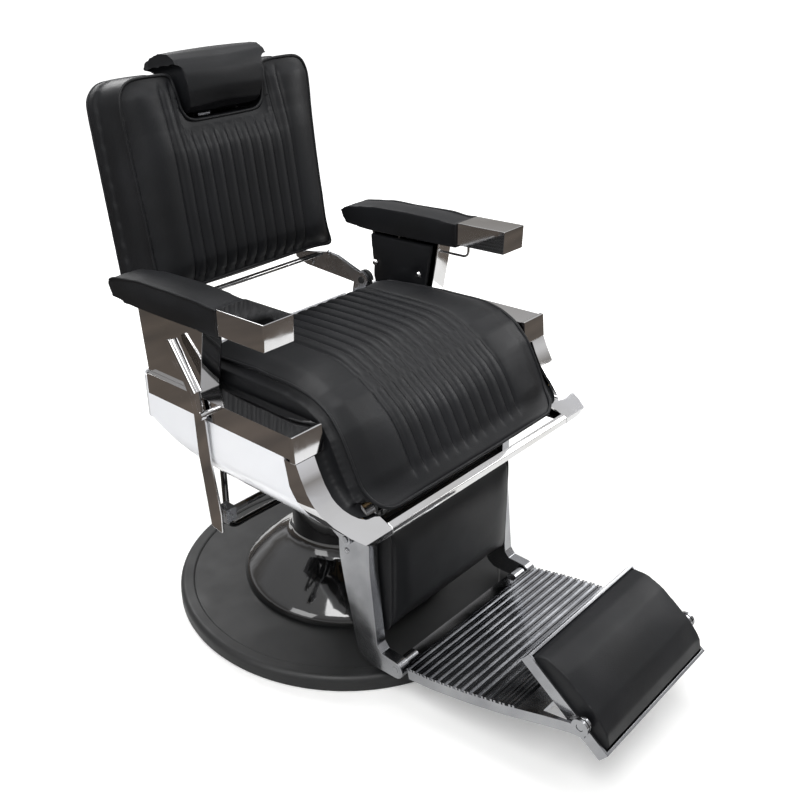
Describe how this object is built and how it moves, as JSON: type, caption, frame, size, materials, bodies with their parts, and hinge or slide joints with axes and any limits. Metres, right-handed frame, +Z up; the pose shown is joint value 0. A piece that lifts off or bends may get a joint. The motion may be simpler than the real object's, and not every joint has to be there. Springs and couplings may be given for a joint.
{
  "type": "hydraulic barber chair",
  "caption": "Barber chair on a disc base with hydraulic column, reclining back linked to the leg rest, sliding headrest, folding footplate and flip-over foot pad.",
  "frame": {"origin": "centre of the base's flat underside, on the floor", "axes": "+Z up; the chair faces -Y; the sitter's right, where the levers are, is -X"},
  "size_m": [0.7315, 1.0975, 1.0814],
  "materials": {
    "base_satin": "satin black powder coat",
    "gloss_black": "gloss black enamel",
    "frame_paint": "matt black paint",
    "white_enamel": "gloss white enamel",
    "chrome": "mirror chrome plate",
    "cast_alu": "polished casting",
    "steel": "zinc-plated steel",
    "bronze": "sintered bronze",
    "rubber": "moulded seal",
    "board": "birch plywood",
    "leather": "smooth black leatherette"
  },
  "bodies": {
    "base": {"base_plate": "base_satin", "base_rim": "base_satin", "base_dome": "gloss_black", "pump_cylinder": "gloss_black", "pump_seal": "rubber", "base_bolts": "steel"},
    "column": {"piston_column": "chrome", "swivel_ring": "bronze"},
    "seat": {"seat_mount": "frame_paint", "seat_frame": "frame_paint", "seat_beams": "frame_paint", "seat_board": "board", "seat_cushion": "leather", "side_panel_r": "white_enamel", "side_panel_l": "white_enamel", "rear_panel": "white_enamel", "side_wall_r": "frame_paint", "side_wall_l": "frame_paint", "side_rail_r": "chrome", "side_rail_l": "chrome", "rail_cap_r": "chrome", "rail_cap_l": "chrome", "front_band_r": "chrome", "front_band_l": "chrome", "front_bar": "chrome", "arm_cover_r": "chrome", "arm_cover_l": "chrome", "arm_lining_r": "leather", "arm_lining_l": "leather", "arm_pad_r": "leather", "arm_pad_l": "leather", "arm_cap_r": "chrome", "arm_cap_l": "chrome", "arm_screws": "chrome", "towel_wire": "chrome", "pivot_uprights": "frame_paint", "pump_rod": "gloss_black", "lock_barrel": "steel"},
    "back": {"back_brackets": "steel", "torque_rod": "steel", "back_board": "board", "back_cushion": "leather", "head_guide": "frame_paint"},
    "headrest": {"head_bar": "steel", "head_pad": "leather"},
    "leg_rest": {"leg_arm_r": "cast_alu", "leg_arm_l": "cast_alu", "leg_board": "frame_paint", "calf_pad": "leather"},
    "footplate": {"footplate": "cast_alu"},
    "foot_pad": {"foot_tray": "cast_alu", "foot_cushion": "leather"},
    "link": {"recline_link": "steel"},
    "lock_rod": {"lock_rod": "steel"},
    "lift_lever": {"lift_bar": "chrome", "lift_shaft": "steel"},
    "recline_lever": {"recline_lever": "chrome", "recline_grip": "chrome"}
  },
  "joints": [
    {"name": "lift", "type": "slide", "parent": "base", "child": "column", "axis": [0, 0, 1], "range_m": [0, 0.15]},
    {"name": "swivel", "type": "hinge", "parent": "column", "child": "seat", "pos_m": [0, 0, 0.3], "axis": [0, 0, 1], "continuous": true},
    {"name": "back_recline", "type": "hinge", "parent": "seat", "child": "back", "pos_m": [0, 0.134, 0.58], "axis": [-1, 0, 0], "range_deg": [0, 45]},
    {"name": "leg_swing", "type": "hinge", "parent": "seat", "child": "leg_rest", "pos_m": [0, -0.235, 0.352], "axis": [-1, 0, 0], "range_deg": [0, 45]},
    {"name": "link_turn", "type": "hinge", "parent": "back", "child": "link", "pos_m": [0, 0.1545, 0.5236], "axis": [-1, 0, 0], "range_deg": [-45, 0]},
    {"name": "lock_stroke", "type": "slide", "parent": "seat", "child": "lock_rod", "axis": [0, 1, 0], "range_m": [-0.047, 0]},
    {"name": "head_height", "type": "slide", "parent": "back", "child": "headrest", "axis": [0, 0.1478, 0.989], "range_m": [0, 0.11]},
    {"name": "footplate_fold", "type": "hinge", "parent": "leg_rest", "child": "footplate", "pos_m": [0, -0.317, 0.066], "axis": [-1, 0, 0], "range_deg": [0, 55]},
    {"name": "foot_pad_flip", "type": "hinge", "parent": "footplate", "child": "foot_pad", "pos_m": [0, -0.65503, 0.13989], "axis": [1, 0, 0], "range_deg": [0, 150]},
    {"name": "pump_stroke", "type": "hinge", "parent": "seat", "child": "lift_lever", "pos_m": [0, -0.045, 0.336], "axis": [-1, 0, 0], "range_deg": [0, 25], "stiffness_Nm_per_rad": 4, "springref_deg": -20.05},
    {"name": "recline_release", "type": "hinge", "parent": "seat", "child": "recline_lever", "pos_m": [-0.35, -0.046, 0.541], "axis": [1, 0, 0], "range_deg": [0, 25], "stiffness_Nm_per_rad": 1.5, "springref_deg": -11.46}
  ],
  "couplings": [
    {"joint": "leg_swing", "follows": "back_recline", "ratio": 1},
    {"joint": "link_turn", "follows": "back_recline", "ratio": -1},
    {"joint": "lock_stroke", "follows": "back_recline", "m_per_rad": -0.0584}
  ]
}
